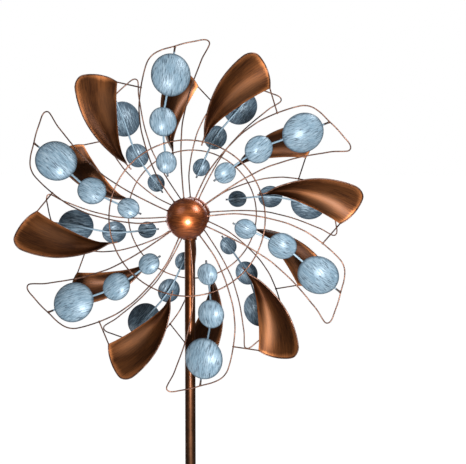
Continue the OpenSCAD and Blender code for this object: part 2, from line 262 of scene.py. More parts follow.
class Pattern:
    """A geometry node tree with named inputs. It ends in Realize Instances and Set Material."""

    def __init__(self, name, **inputs):
        self.tree = bpy.data.node_groups.new(name, "GeometryNodeTree")
        self.tree.is_modifier = True
        self.tree.interface.new_socket("Geometry", in_out="INPUT", socket_type="NodeSocketGeometry")
        for title, kind in inputs.items():
            self.tree.interface.new_socket(title.replace("_", " "), in_out="INPUT",
                                           socket_type="NodeSocket" + kind)
        self.tree.interface.new_socket("Finish", in_out="INPUT", socket_type="NodeSocketMaterial")
        self.tree.interface.new_socket("Geometry", in_out="OUTPUT", socket_type="NodeSocketGeometry")
        self.inputs = self.tree.nodes.new("NodeGroupInput").outputs

    def node(self, kind, settings, sockets, output=0):
        made = self.tree.nodes.new(kind)
        for name, value in settings.items():
            setattr(made, name, value)
        for name, value in sockets.items():
            if isinstance(value, bpy.types.NodeSocket):
                self.tree.links.new(value, made.inputs[name])
            else:
                made.inputs[name].default_value = value
        return made.outputs[output]

    def copies(self, geometry):
        """The geometry repeated round the axle, each copy numbered in an attribute."""
        index = self.node("GeometryNodeInputIndex", {}, {})
        angle = self.node("ShaderNodeMath", {"operation": "MULTIPLY_ADD"},
                          {0: index, 1: self.inputs["Step"], 2: self.inputs["First turn"]})
        turn = self.node("ShaderNodeCombineXYZ", {}, {"Y": angle})
        spots = self.node("GeometryNodePoints", {}, {"Count": self.inputs["Copies"],
                                                     "Position": self.inputs["Centre"]})
        placed = self.node("GeometryNodeInstanceOnPoints", {},
                           {"Points": spots, "Instance": geometry,
                            "Rotation": self.node("FunctionNodeEulerToRotation", {}, {0: turn})})
        return self.node("GeometryNodeStoreNamedAttribute",
                         {"data_type": "FLOAT", "domain": "INSTANCE"},
                         {"Geometry": placed, "Name": "copy", "Value": index})

    def close(self, geometry):
        real = self.node("GeometryNodeRealizeInstances", {}, {"Geometry": geometry})
        smooth = self.node("GeometryNodeSetShadeSmooth", {}, {"Geometry": real, "Shade Smooth": True})
        coated = self.node("GeometryNodeSetMaterial", {},
                           {"Geometry": smooth, "Material": self.inputs["Finish"]})
        output = self.tree.nodes.new("NodeGroupOutput")
        self.tree.links.new(coated, output.inputs["Geometry"])
        return self


def grown(name, base, pattern, sharp=40, **sizes):
    """Runs a pattern on a base mesh and keeps the plain mesh that comes out of it."""
    data = bpy.data.meshes.new(name)
    base.to_mesh(data)
    base.free()
    seed = bpy.data.objects.new(name + "_base", data)
    bpy.context.scene.collection.objects.link(seed)
    modifier = seed.modifiers.new("pattern", "NODES")
    modifier.node_group = pattern.tree
    for item in pattern.tree.interface.items_tree:
        if item.in_out == "INPUT" and item.name.replace(" ", "_") in sizes:
            modifier[item.identifier] = sizes[item.name.replace(" ", "_")]
    graph = bpy.context.evaluated_depsgraph_get()
    made = bpy.data.objects.new(name, bpy.data.meshes.new_from_object(seed.evaluated_get(graph)))
    bpy.context.scene.collection.objects.link(made)
    bpy.data.objects.remove(seed)
    made.data.set_sharp_from_angle(angle=math.radians(sharp))
    return made


def steel_finish():
    paint = Finish("steel", Metallic=1.0)
    turning = paint.noise(paint.place(scale=(30, 900, 900)), 1.0, 3.0)
    paint.set("Base Color", paint.mix(turning, (0.42, 0.41, 0.40, 1), (0.62, 0.61, 0.60, 1)))
    paint.set("Roughness", turning * 0.2 + 0.25)
    return paint.material


def turned(outline, matrix, segments=96):
    mesh = lathe(outline, segments)
    mesh.transform(matrix)
    return mesh


def joined(*meshes):
    """Several bmeshes as one."""
    whole = bmesh.new()
    for mesh in meshes:
        data = bpy.data.meshes.new("part")
        mesh.to_mesh(data)
        whole.from_mesh(data)
        bpy.data.meshes.remove(data)
        mesh.free()
    return whole


def trail(points, closed=False, **marks):
    """A bmesh of loose edges along points, which a pattern turns into a wire."""
    mesh = bmesh.new()
    for name in marks:
        mesh.verts.layers.float.new(name)
    verts = [mesh.verts.new(p) for p in points]
    for a, b in zip(verts, verts[1:] + verts[:1] if closed else verts[1:]):
        mesh.edges.new((a, b))
    for name, values in marks.items():
        for vert, value in zip(verts, values):
            vert[mesh.verts.layers.float[name]] = value
    return mesh


steel = steel_finish()
screw_r, shank_r, shank_end, head_under = 3.8 * MM, 2 * MM, -5.5 * MM, -0.3 * MM
recess = [(1.3 * MM, 0.9 * MM), (0, 0.8 * MM)]
shank = [(0, shank_end), (shank_r, shank_end), (shank_r, head_under), (screw_r, head_under)]
crown = [(screw_r, 0.9 * MM), (2.9 * MM, 1.8 * MM), (1.5 * MM, 2.2 * MM)]
screw = lathe(rounded(shank + crown + recess, 0.25 * MM), 32)
screw.transform(Matrix.Rotation(-math.pi / 2, 4, "X"))
screw_mesh = bpy.data.meshes.new("one_screw")
screw.to_mesh(screw_mesh)
one_screw = bpy.data.objects.new("one_screw", screw_mesh)
head_low, head_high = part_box("pole_head")
boss_r, screw_up = 13 * MM, 13 * MM
hub_z = head_high.z - boss_r
socket_low, socket_r = head_low.z, 12.5 * MM
screw_heights = [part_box("pole_foot")[1].z - spigot / 2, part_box("pole_mid")[1].z - spigot / 2]
screw_spots = [(0, pole_r, z) for z in screw_heights] + [(0, socket_r, socket_low + screw_up)]
pattern = Pattern("screw_heads", Screw="Object")
heads = pattern.node("GeometryNodeObjectInfo", {}, {"Object": pattern.inputs["Screw"]}, "Geometry")
pattern.close(pattern.node("GeometryNodeInstanceOnPoints", {},
                           {"Points": pattern.inputs["Geometry"], "Instance": heads}))
seat(grown("joint_screws", trail(screw_spots), pattern, Screw=one_screw, Finish=steel),
     "stand", "steel", "screws")
bpy.data.objects.remove(one_screw)


# The head. A short cross tube welded on a socket that slips over the pole.
# It carries the axle, and the weld between the two tubes shows as a rough bead.

pole_stop, socket_top = hub_z - 16 * MM, hub_z - 5 * MM
socket = lathe(rounded([(0, pole_stop), (pole_r, pole_stop), (pole_r, socket_low),
                        (socket_r, socket_low), (socket_r, socket_top), (0, socket_top)]))
across = Matrix.Translation((0, 0, hub_z)) @ Matrix.Rotation(math.pi / 2, 4, "X")
axle_r, half_boss = 6 * MM, 30 * MM
cross_tube = turned(rounded([(axle_r, -half_boss), (boss_r, -half_boss), (boss_r, half_boss),
                             (axle_r, half_boss)], 0.9 * MM), across)
seat(piece("head_tube", joined(socket, cross_tube), bronze), "stand", "bronze_finish", "pole_head")

weld_r, weld_steps, ripple_scale, swell_by, swell_from = 1.6 * MM, 120, 260.0, 0.7, 0.65
pattern = Pattern("weld_run", Bead="Float")
run = pattern.node("GeometryNodeMeshToCurve", {}, {"Mesh": pattern.inputs["Geometry"]})
ripple = pattern.node("ShaderNodeTexNoise", {}, {"Scale": ripple_scale, "Detail": 1.0})
swell = pattern.node("ShaderNodeMath", {"operation": "MULTIPLY_ADD"},
                     {0: ripple, 1: swell_by, 2: swell_from})
profile = pattern.node("GeometryNodeCurvePrimitiveCircle", {},
                       {"Resolution": 10, "Radius": pattern.inputs["Bead"]})
pattern.close(pattern.node("GeometryNodeCurveToMesh", {},
                           {"Curve": run, "Profile Curve": profile, "Scale": swell}))
turns = np.linspace(0, 2 * math.pi, weld_steps, endpoint=False)
saddle = [(socket_r * math.cos(t), socket_r * math.sin(t),
           hub_z - math.sqrt(boss_r ** 2 - (socket_r * math.cos(t)) ** 2)) for t in turns]
seat(grown("head_weld", trail(saddle, closed=True), pattern, Bead=weld_r, Finish=bronze),
     "stand", "bronze_finish")


# The axle. A steel shaft with a bronze spacer on each side of the head, and a washer and
# a nut outside each rotor. The domes hide the nuts.

front_y = next(j for j in frame["joints"] if j["name"] == "front_spin")["pos_m"][1]
hub_back, hub_front, play = 24 * MM, 6 * MM, 0.3 * MM
spacer_r, spacer_len = 10 * MM, -front_y - half_boss - hub_back - play
sleeves = []
for side in (-1, 1):
    place = Matrix.Translation((0, side * (half_boss + spacer_len / 2), hub_z))
    sleeves.append(turned(rounded([(axle_r, -spacer_len / 2), (spacer_r, -spacer_len / 2),
                                   (spacer_r, spacer_len / 2), (axle_r, spacer_len / 2)], 0.7 * MM),
                          place @ Matrix.Rotation(math.pi / 2, 4, "X")))
seat(piece("spacer_sleeves", joined(*sleeves), bronze), "stand", "bronze_finish", "spacers")
for name in ("axle", "washers", "nuts", "front_bearings", "back_bearings"):
    node = frame["nodes"][name]
    node.data.materials.clear()
    node.data.materials.append(steel)


# The stake. The pole ends in a pointed steel spike that is coated like it, and three bent
# tines of dark round bar are welded into a collar at ground level.

def bar_finish():
    paint = Finish("dark_bar", Metallic=0.7)
    scale = paint.noise(paint.place(), 120.0, 4.0, 0.6)
    paint.set("Base Color", paint.mix(paint.step(scale, 0.35, 0.7), (0.035, 0.032, 0.031, 1),
                                      (0.10, 0.092, 0.088, 1)))
    paint.set("Roughness", scale * 0.25 + 0.35)
    paint.relief(scale, 0.00005, 0.4)
    return paint.material


dark_bar = bar_finish()
low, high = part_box("spike")
spike_r, plug_r, tip_r, point = 9 * MM, 7.9 * MM, 0.75 * MM, low.z + 68 * MM
outline = [(0, low.z), (tip_r, low.z), (spike_r, point), (spike_r, 0), (plug_r, 0), (plug_r, high.z),
           (0, high.z)]
seat(piece("ground_spike", lathe(rounded(outline, 0.3 * MM), 48), bronze),
     "stand", "bronze_finish", "spike")
low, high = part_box("collar")
collar_mid = (low.z + high.z) / 2
seat(piece("tine_collar", lathe(rounded([(pole_r, low.z), (high.x, low.z), (high.x, high.z),
                                         (pole_r, high.z)], 1.2 * MM)), dark_bar),
     "stand", "bronze_finish", "collar")
tine_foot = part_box("tines")[0].z
tine_r, bend_r, reach, point_len = 3 * MM, 13 * MM, 128 * MM, 12 * MM
tines, first_tine, tip_len = 3, 292, 0.4 * MM
route = [(high.x - 1 * MM, collar_mid), (60 * MM, collar_mid)]
route += [(reach - bend_r + bend_r * math.sin(a), collar_mid - bend_r + bend_r * math.cos(a))
          for a in np.linspace(0, math.pi / 2, 13)]
route += [(reach, z) for z in (-100 * MM, tine_foot + point_len, tine_foot + tip_len, tine_foot)]
widths = [1.0] * (len(route) - 2) + [0.2, 0.12]
pattern = Pattern("bent_tines", Thickness="Float", First_turn="Float", Tines="Int")
bar = pattern.node("GeometryNodeMeshToCurve", {}, {"Mesh": pattern.inputs["Geometry"]})
taper = pattern.node("GeometryNodeInputNamedAttribute", {"data_type": "FLOAT"}, {"Name": "taper"})
profile = pattern.node("GeometryNodeCurvePrimitiveCircle", {},
                       {"Resolution": 20, "Radius": pattern.inputs["Thickness"]})
solid = pattern.node("GeometryNodeCurveToMesh", {}, {"Curve": bar, "Profile Curve": profile,
                                                     "Fill Caps": True, "Scale": taper})
index = pattern.node("GeometryNodeInputIndex", {}, {})
angle = pattern.node("ShaderNodeMath", {"operation": "MULTIPLY_ADD"},
                     {0: index, 1: 2 * math.pi / tines, 2: pattern.inputs["First turn"]})
turn = pattern.node("ShaderNodeCombineXYZ", {}, {"Z": angle})
spots = pattern.node("GeometryNodePoints", {}, {"Count": pattern.inputs["Tines"]})
around = pattern.node("FunctionNodeEulerToRotation", {}, {0: turn})
pattern.close(pattern.node("GeometryNodeInstanceOnPoints", {},
                           {"Points": spots, "Instance": solid, "Rotation": around}))
seat(grown("stake_tines", trail([(x, 0, z) for x, z in route], taper=widths), pattern,
           Thickness=tine_r, First_turn=math.radians(first_tine), Tines=tines, Finish=dark_bar),
     "stand", "bronze_finish", "tines")


# The hubs. Each rotor turns on two ball bearings pressed into the rear part of a copper-plated
# ball, and a spun cap closes the front over the nut. The satin finish is brushed level.

def copper_finish():
    paint = Finish("hub_copper", Metallic=1.0, Coat_Weight=1.0, Coat_Roughness=0.27,
                   Specular_Tint=(0.5, 0.26, 0.15, 1))
    brushed = paint.noise(paint.place(scale=(0.06, 0.2, 1)), 700.0, 4.0, 0.65)
    cloud = paint.noise(paint.place(), 30.0, 3.0, 0.6)
    tone = paint.step(brushed * 0.7 + cloud * 0.3, 0.38, 0.60)
    paint.set("Base Color", paint.mix(tone, (0.25, 0.056, 0.011, 1), (0.58, 0.150, 0.033, 1)))
    paint.set("Roughness", brushed * 0.12 + 0.38)
    paint.relief(brushed, 0.00003, 0.25)
    return paint.material


def arc(radius, start, end, steps=24):
    """Points of a circle about the origin from one height to another, as (radius, height)."""
    first, last = math.asin(start / radius), math.asin(end / radius)
    return [(radius * math.cos(a), radius * math.sin(a)) if abs(a - math.pi / 2) > 1e-6
            else (0, radius) for a in np.linspace(first, last, steps + 1)]


copper = copper_finish()
wall, bearing_r, bearing_len, core_r = 2.5 * MM, 16 * MM, 10 * MM, 13 * MM
seam, lap, rim_up = 0.4 * MM, 1.6 * MM, 3 * MM
DRAWN = 612
SWEEP, SWEEP_START, SWEEP_END = 24, 40, 302


class Rotor:
    """What differs between the rotors. Depths count from the wire plane towards the other
    rotor. The shapes are drawn in mm for a rotor DRAWN across."""

    def __init__(self, name, diameter, ring, hub, turn, side, discs):
        self.name, self.body, self.side, self.discs = name, name + "_rotor", side, discs
        self.k = diameter / DRAWN
        self.ring_r, self.hub_r, self.turn = ring / 2 * MM, hub / 2 * MM, math.radians(turn)
        self.centre = Vector((0, -side * abs(front_y), hub_z))

    def outward(self):
        """Takes a lathe's Z axis to the outward end of the axle."""
        return Matrix.Translation(self.centre) @ Matrix.Rotation(self.side * math.pi / 2, 4, "X")

    def at(self, radius, angle, depth):
        """A place on the rotor, still unturned, from the drawing's radius in mm and angle."""
        a, r = math.radians(angle), self.k * radius
        return Vector((r * math.cos(a), self.side * depth, r * math.sin(a))) * MM

    def ring_depth(self):
        return petal_depth(self.ring_r / MM / self.k)

    def spread(self):
        """The inputs that repeat a pattern round this rotor."""
        return dict(Copies=6, Step=math.pi / 3, First_turn=-self.turn, Centre=self.centre)


def petal_depth(radius):
    """How far a petal loop has swept back at a radius of the drawing."""
    return SWEEP * (max(0, radius - SWEEP_START) / (SWEEP_END - SWEEP_START)) ** 1.5


rotors = [Rotor("front", DRAWN, 265.98, 71, 97.1, 1, (73, 50, 38)),
          Rotor("back", 542, 240, 66, 126.2, -1, (65, 45, 34))]
for rotor in rotors:
    r = rotor.hub_r
    front_seat, back_seat = hub_front - 1 * MM - bearing_len, bearing_len - hub_back
    outline = [(bearing_r, -hub_back)] + arc(r, -hub_back, hub_front - seam)
    outline += [(r - 1.2 * MM, hub_front), (r - wall - lap, hub_front),
                (r - wall - lap, hub_front + rim_up), (bearing_r, hub_front + rim_up),
                (bearing_r, front_seat), (core_r, front_seat),
                (core_r, back_seat), (bearing_r, back_seat)]
    ball = turned(outline, rotor.outward(), 128)
    seat(piece(rotor.name + "_ball", ball, copper, 30), rotor.body, "hub_copper", rotor.name + "_hub")
    outline = arc(r, hub_front + seam, r, 32)[::-1] + [(r - 1.0 * MM, hub_front)]
    outline += arc(r - wall, hub_front, r - wall, 24)
    cap = turned(outline, rotor.outward(), 128)
    seat(piece(rotor.name + "_cap", cap, copper, 30), rotor.body, "hub_copper", rotor.name + "_dome")


# The wire frames. Each rotor has a ring, six petal loops bent from bronze-coated wire, and a
# shorter wire round each vane. They are welded where they cross, and the loops end in the hub.

def wire_finish():
    paint = Finish("wire_bronze", Metallic=0.8)
    patch = paint.noise(paint.place(), 55.0, 4.0, 0.6)
    fine = paint.noise(paint.place(), 600.0, 2.0)
    worn = paint.step(patch * 0.75 + fine * 0.25, 0.46, 0.62)
    paint.set("Base Color", paint.mix(worn, (0.11, 0.052, 0.034, 1), (0.32, 0.165, 0.112, 1)))
    paint.set("Roughness", patch * 0.25 + 0.28)
    paint.relief(fine, 0.00005, 0.4)
    return paint.material


def smooth_line(rows, spans=6, closed=False):
    """Rows of numbers made dense with a Catmull-Rom curve through each of them."""
    rows = np.array(rows, dtype=float)
    padded = np.vstack([rows[-1:], rows, rows[:2]]) if closed else \
        np.vstack([2 * rows[0] - rows[1], rows, 2 * rows[-1] - rows[-2]])
    out = []
    for a, b, c, d in zip(padded, padded[1:], padded[2:], padded[3:]):
        for t in np.arange(spans) / spans:
            out.append(0.5 * (2 * b + (c - a) * t + (2 * a - 5 * b + 4 * c - d) * t ** 2
                              + (3 * b - a - 3 * c + d) * t ** 3))
    return out if closed else out + [rows[-1]]


# Radius in mm and angle in degrees of the first petal loop, out along one side and back.
PETAL = [(58, 29.6), (80, 28.8), (104, 26.4), (125.5, 24.3), (148.5, 22.1), (170, 20.2), (189, 18.1),
         (205.5, 16.3), (220, 14.4), (234, 12.6), (249.5, 10.6), (265, 8.6), (276.5, 6.9), (285, 4.6),
         (290, 1.4), (293, -2.4), (297.5, -6), (301.5, -9.6), (305, -12.2), (304.5, -13.7),
         (299.5, -14.4), (290, -13.9), (273.5, -12.5), (256, -11.4), (234, -9.8), (207.5, -7.8),
         (183, -6.1), (160, -4.3), (137.5, -3.2), (116.5, -2.2), (91, -1.2), (65, -0.3)]
WIRE_R, ROOT_DEPTH, HOOP_LIFT = 1.2 * MM, 3, 2.1


def wire_pattern(name):
    """A round wire along the base mesh's edges, repeated round the axle."""
    made = Pattern(name, Wire="Float", Sides="Int", Copies="Int", Step="Float", First_turn="Float",
                   Centre="Vector")
    line = made.node("GeometryNodeMeshToCurve", {}, {"Mesh": made.inputs["Geometry"]})
    profile = made.node("GeometryNodeCurvePrimitiveCircle", {},
                        {"Resolution": made.inputs["Sides"], "Radius": made.inputs["Wire"]})
    wire = made.node("GeometryNodeCurveToMesh", {},
                     {"Curve": line, "Profile Curve": profile, "Fill Caps": True})
    return made.close(made.copies(wire))


bronze_wire = wire_finish()
petal_wires = wire_pattern("petal_wires")
for rotor in rotors:
    inner = (rotor.hub_r / MM - ROOT_DEPTH) / rotor.k
    line = smooth_line([(inner, 30.2)] + PETAL + [(inner, 1.2)], 5)
    seat(grown(rotor.name + "_petals", trail([rotor.at(p[0], p[1], petal_depth(p[0])) for p in line]),
               petal_wires, Wire=WIRE_R, Sides=12, Finish=bronze_wire, **rotor.spread()),
         rotor.body, "bronze_finish", *[f"{rotor.name}_petal_{i}" for i in range(1, 7)])
    turns = np.linspace(0, 2 * math.pi, 16, endpoint=False)
    place = rotor.outward() @ Matrix.Translation((0, 0, -(rotor.ring_depth() - HOOP_LIFT) * MM))
    section = [(rotor.ring_r + WIRE_R * math.cos(t), WIRE_R * math.sin(t)) for t in turns]
    seat(piece(rotor.name + "_hoop", turned(section, place, 180), bronze_wire),
         rotor.body, "bronze_finish", rotor.name + "_ring")


# The rods. A steel rod runs down the middle of each petal behind its discs, from the outer
# end of the loop to just inside the smallest disc. It is painted blue with the discs on it.

# Radius and angle of the three discs' centres, from the outside in.
DISCS = [(245, -0.7), (169, 6.7), (101, 12.8)]
ROD_OUT, ROD_R, PAST_LAST, BARE_OUT, BARE_IN = (292, -3.0), 1.7 * MM, 5, 11, 6


def rod_line(rotor):
    return [rotor.at(r, a, petal_depth(r)) for r, a in [ROD_OUT] + DISCS]


def blue_coat(name, base, dark, light, streak, edge):
    """Blue paint over metal with thin dark and pale streaks, after the piece's own grain. Painted shade
    darkens the rim and the inner face towards its rim.
    """
    paint = Finish(name, Metallic=0.1, Specular_IOR_Level=0.45)
    grain = paint.node("Attribute", {"attribute_name": "grain"}, {}, "Vector")
    copy = paint.node("Attribute", {"attribute_name": "copy"}, {}, "Fac")
    shift = paint.node("CombineXYZ", {}, {"X": copy * 37.7, "Y": copy * 61.3, "Z": copy * 5.9})
    spot = paint.node("VectorMath", {"operation": "ADD"}, {0: grain, 1: shift})
    lines = paint.node("Mapping", {}, {"Vector": spot, "Scale": streak})
    wide = paint.node("Mapping", {}, {"Vector": spot, "Scale": (0.09, 0.03, 1)})
    fine = paint.noise(lines, 1.0, 4.0, 0.62, 0.45)
    cloud = paint.noise(wide, 1.0, 3.0, 0.6)
    far = paint.node("Attribute", {"attribute_name": "far"}, {}, "Fac")
    inside = paint.node("Attribute", {"attribute_name": "inside"}, {}, "Fac")
    bare = paint.node("Attribute", {"attribute_name": "bare"}, {}, "Fac")
    scratch = paint.step(fine + cloud * 0.2 + inside * 0.07, 0.60, 0.74)
    pale = paint.step(fine, 0.47, 0.34)
    colour = paint.mix(paint.step(cloud, 0.35, 0.65) * 0.35, base, light)
    colour = paint.mix(pale * 0.8, colour, light)
    colour = paint.mix(scratch * 0.85, colour, dark)
    # Painted shade: a dark band round the rim of each disc.
    colour = paint.mix(paint.step(far, 0.86, 1.02) * 0.75, colour, edge)
    # Painted shade: the inner, hollow face of each disc darkens towards its rim.
    colour = paint.mix(inside * paint.step(far, 0.3, 1.1) * 0.65, colour, dark)
    bare_steel = (0.035, 0.02, 0.014, 1)
    paint.set("Base Color", paint.mix(bare, colour, bare_steel))
    paint.set("Roughness", scratch * 0.2 + cloud * 0.15 + 0.32)
    paint.relief(fine - scratch * 0.5, 0.00004, 0.35)
    return paint.material


BLUE, DARK_BLUE = (0.195, 0.30, 0.385, 1), (0.038, 0.065, 0.095, 1)
PALE_BLUE, RIM_SHADE_BLUE = (0.37, 0.48, 0.56, 1), (0.02, 0.034, 0.05, 1)
STREAK = (0.62, 0.08, 1)
blue = blue_coat("disc_blue", BLUE, DARK_BLUE, PALE_BLUE, STREAK, RIM_SHADE_BLUE)
rod_wires = wire_pattern("rod_wires")
for rotor in rotors:
    line = rod_line(rotor)
    small = rotor.discs[2]
    end = line[3] + (line[3] - line[2]).normalized() * (small / 2 + PAST_LAST) * MM
    points = [Vector(p) for p in smooth_line([line[0], line[1], line[2], end], 12)]
    length = np.cumsum([0] + [(b - a).length / MM for a, b in zip(points, points[1:])])
    bare = [1.0 if s < BARE_OUT * rotor.k or s > length[-1] - BARE_IN else 0.0 for s in length]
    seat(grown(rotor.name + "_disc_rods", trail(points, bare=bare), rod_wires,
               Wire=ROD_R, Sides=12, Finish=blue, **rotor.spread()),
         rotor.body, "disc_blue", rotor.name + "_rods")


# The discs. Three domed sheet discs are welded in front of each rod, the largest outside.
# Each is painted blue, wiped so that dark streaks run along the rod, and a little tilted.

DOME, SHEET, OVAL, TILT, DISC_SINK = 0.19, 1.2 * MM, 0.94, 16, 0.4 * MM


def disc(size, place, number):
    """A domed disc with a rolled edge, facing +Z, and its grain for the paint."""
    radius, height = size / 2 * MM, DOME * size * MM
    bend = (radius ** 2 + height ** 2) / (2 * height)
    slopes = [math.asin(radius / bend) * s / 14 for s in range(15)]
    outer = [(bend * math.sin(a), height - bend + bend * math.cos(a)) for a in slopes]
    inner = [((bend - SHEET) * math.sin(a), height - bend + (bend - SHEET) * math.cos(a))
             for a in reversed(slopes)]
    lip = [(radius + 0.1 * MM, -SHEET * 0.45), (radius - 0.25 * MM, -SHEET * 0.85)]
    outline = outer + lip + inner
    mesh = lathe(outline, 72)
    grain = mesh.verts.layers.float_vector.new("grain")
    far = mesh.verts.layers.float.new("far")
    inside = mesh.verts.layers.float.new("inside")
    for vert in mesh.verts:
        x, y, z = vert.co
        outer_z = height - bend + math.sqrt(max(bend ** 2 - x * x - y * y, 0))
        vert[grain] = (y / MM, x / MM, number * 11.3)
        vert[far] = math.hypot(x, y) / radius
        vert[inside] = 1.0 if outer_z - z > SHEET * 0.5 else 0.0
        vert.co.y *= OVAL
    mesh.transform(place)
    return mesh


disc_rows = Pattern("disc_rows", Copies="Int", Step="Float", First_turn="Float", Centre="Vector")
disc_rows.close(disc_rows.copies(disc_rows.inputs["Geometry"]))
for rotor in rotors:
    line = rod_line(rotor)
    made = []
    for number, (spot, size) in enumerate(zip(line[1:], rotor.discs)):
        ahead = line[2] - line[3] if number else line[1] - line[2]
        along = ahead.normalized()
        outward = Vector((0, -rotor.side, 0))
        outward = (outward - along * outward.dot(along)).normalized()
        across_rod = outward.cross(along)
        frame_of = Matrix((along, across_rod, outward)).transposed().to_4x4()
        place = Matrix.Translation(spot + outward * (ROD_R - DISC_SINK)) @ frame_of
        place = place @ Matrix.Rotation(math.radians(TILT), 4, "X")
        made.append(disc(size, place, number))
    seat(grown(rotor.name + "_disc_set", joined(*made), disc_rows, Finish=blue, **rotor.spread()),
         rotor.body, "disc_blue", *[f"{rotor.name}_discs_{i}" for i in range(1, 7)])


# The vanes. Each is a sheet of copper cupped like a sail and welded to the ring and to its own
# wire. It is brown, brushed along its length and worn bright at the edges, with a painted
# highlight in the cup and painted shade towards its inner end.

# Radius and angle along the three borders: two sides from the inner tip, and the outer end.
SPINE = [(138, 40.4), (152, 41.6), (167, 42.2), (199, 41.6), (235, 39.6), (271, 36.2), (306, 32.0)]
FREE = [(139, 40.0), (148, 38.9), (158, 37.7), (177, 34.2), (203, 29.4), (233, 24.8), (264, 20.5)]
OUTER = [(306, 32.0), (302.5, 29.0), (295.5, 26.4), (287, 24.2), (276, 22.1), (264, 20.5)]
CORNER_BACK, FREE_BACK, CUP, HALF_SHEET = 14, 38, 16, 0.6
CORNER_U, CORNER_V = 0.07, 0.17
VANE_WIDE, VANE_LONG, WORN_CELLS = 80, 180, 2.5
FINE_U, FINE_V = 6, 6
spine, free, outer = (np.array(smooth_line(rows, n)) for rows, n in
                      ((SPINE, FINE_U), (FREE, FINE_U), (OUTER, FINE_V)))


def mixed(a, b, t):
    return a + (b - a) * t


def along(rows, share):
    """The row at a share of a table's length."""
    return np.array([np.interp(share, np.linspace(0, 1, len(rows)), column) for column in rows.T])


def vane_spot(i, j):
    """Drawing radius and angle of a grid point of the vane, and its depth behind the ring.
    The corner at the outer end of the spine is rounded."""
    u, v = i / (len(spine) - 1), j / (len(outer) - 1)
    a, b = 1 - (1 - u) / CORNER_U, 1 - v / CORNER_V
    if a > 0 and b > 0:
        pull = max(a, b) / math.hypot(a, b)
        u, v = 1 - CORNER_U * (1 - a * pull), CORNER_V * (1 - b * pull)
    on_spine, on_free, on_outer = along(spine, u), along(free, u), along(outer, v)
    radius, angle = mixed(on_spine, on_free, v) + (on_outer - mixed(outer[0], outer[-1], v)) * u ** 4
    cup = 4 * v * (1 - v) * CUP * math.sin(math.radians(150 * u)) ** 0.8 * (0.55 + 0.45 * u)
    return radius, angle, mixed(CORNER_BACK * u, FREE_BACK * u ** 1.2, v) + cup


def vane_copper_finish(name, dark, light, painted_sheen_amount):
    paint = Finish(name, Metallic=0.95, Coat_Weight=0.12, Coat_Roughness=0.35)
    grain = paint.node("Attribute", {"attribute_name": "grain"}, {}, "Vector")
    copy = paint.node("Attribute", {"attribute_name": "copy"}, {}, "Fac")
    shift = paint.node("CombineXYZ", {}, {"X": copy * 47.0, "Y": copy * 31.0, "Z": copy * 7.7})
    spot = paint.node("VectorMath", {"operation": "ADD"}, {0: grain, 1: shift})
    streaks = paint.noise(paint.node("Mapping", {}, {"Vector": spot, "Scale": (0.9, 0.045, 1)}),
                          1.0, 4.0, 0.65, 0.3)
    cloud = paint.noise(paint.node("Mapping", {}, {"Vector": spot, "Scale": (0.03, 0.018, 1)}), 1.0, 3.0)
    worn_edge = paint.node("Attribute", {"attribute_name": "rim"}, {}, "Fac")
    tone = paint.step(streaks * 0.55 + cloud * 0.45, 0.38, 0.62)
    across, down = (paint.node("SeparateXYZ", {}, {"Vector": grain}, axis) for axis in "XY")
    shade = paint.step(down + cloud * 60, 150.0, 40.0)
    wide, long = (across - 57) * (1 / 26), (down - 138) * (1 / 36)
    # Painted highlight: a soft lighter patch in the outer middle of each vane's cup.
    painted_sheen = paint.step(wide * wide + long * long + cloud * 0.8, 1.6, 0.35)
    sheen_copper, worn_copper = (0.46, 0.21, 0.10, 1), (0.66, 0.24, 0.08, 1)
    colour = paint.mix(shade * 0.6, paint.mix(tone, dark, light), dark)
    colour = paint.mix(painted_sheen * painted_sheen_amount, colour, sheen_copper)
    rubbed = paint.step(worn_edge + streaks * 0.5 + cloud * 0.9, 1.25, 1.85)
    colour = paint.mix(rubbed * 0.8, colour, worn_copper)
    paint.set("Base Color", colour)
    paint.set("Roughness", streaks * 0.16 + 0.42)
    paint.relief(streaks, 0.00005, 0.3)
    return paint.material


def vane(rotor):
    """The cupped sheet as a closed shell with a grid on both faces."""
    mesh = bmesh.new()
    grain = mesh.verts.layers.float_vector.new("grain")
    rim = mesh.verts.layers.float.new("rim")
    rows, columns = len(spine), len(outer)
    faces = []
    for face in (-HALF_SHEET, HALF_SHEET):
        grid = []
        for i in range(rows):
            for j in range(columns):
                radius, angle, depth = vane_spot(i, j)
                vert = mesh.verts.new(rotor.at(radius, angle, rotor.ring_depth() + depth + face))
                vert[grain] = (j / (columns - 1) * VANE_WIDE, i / (rows - 1) * VANE_LONG, 0)
                edge = min(rows - 1 - i, 2.0 * j / FINE_V, 2.0 * (columns - 1 - j) / FINE_V)
                vert[rim] = max(0, 1 - edge / WORN_CELLS)
                grid.append(vert)
        faces.append(grid)
    near, far = faces
    for i in range(rows - 1):
        for j in range(columns - 1):
            a, b, c, d = (i * columns + j, i * columns + j + 1, (i + 1) * columns + j + 1,
                          (i + 1) * columns + j)
            mesh.faces.new([near[n] for n in (a, b, c, d)])
            mesh.faces.new([far[n] for n in (d, c, b, a)])
    loop = [j for j in range(columns)] + [i * columns + columns - 1 for i in range(1, rows)]
    loop += [(rows - 1) * columns + j for j in range(columns - 2, -1, -1)]
    loop += [i * columns for i in range(rows - 2, 0, -1)]
    for a, b in zip(loop, loop[1:] + loop[:1]):
        mesh.faces.new((near[b], near[a], far[a], far[b]))
    bmesh.ops.recalc_face_normals(mesh, faces=mesh.faces)
    return mesh


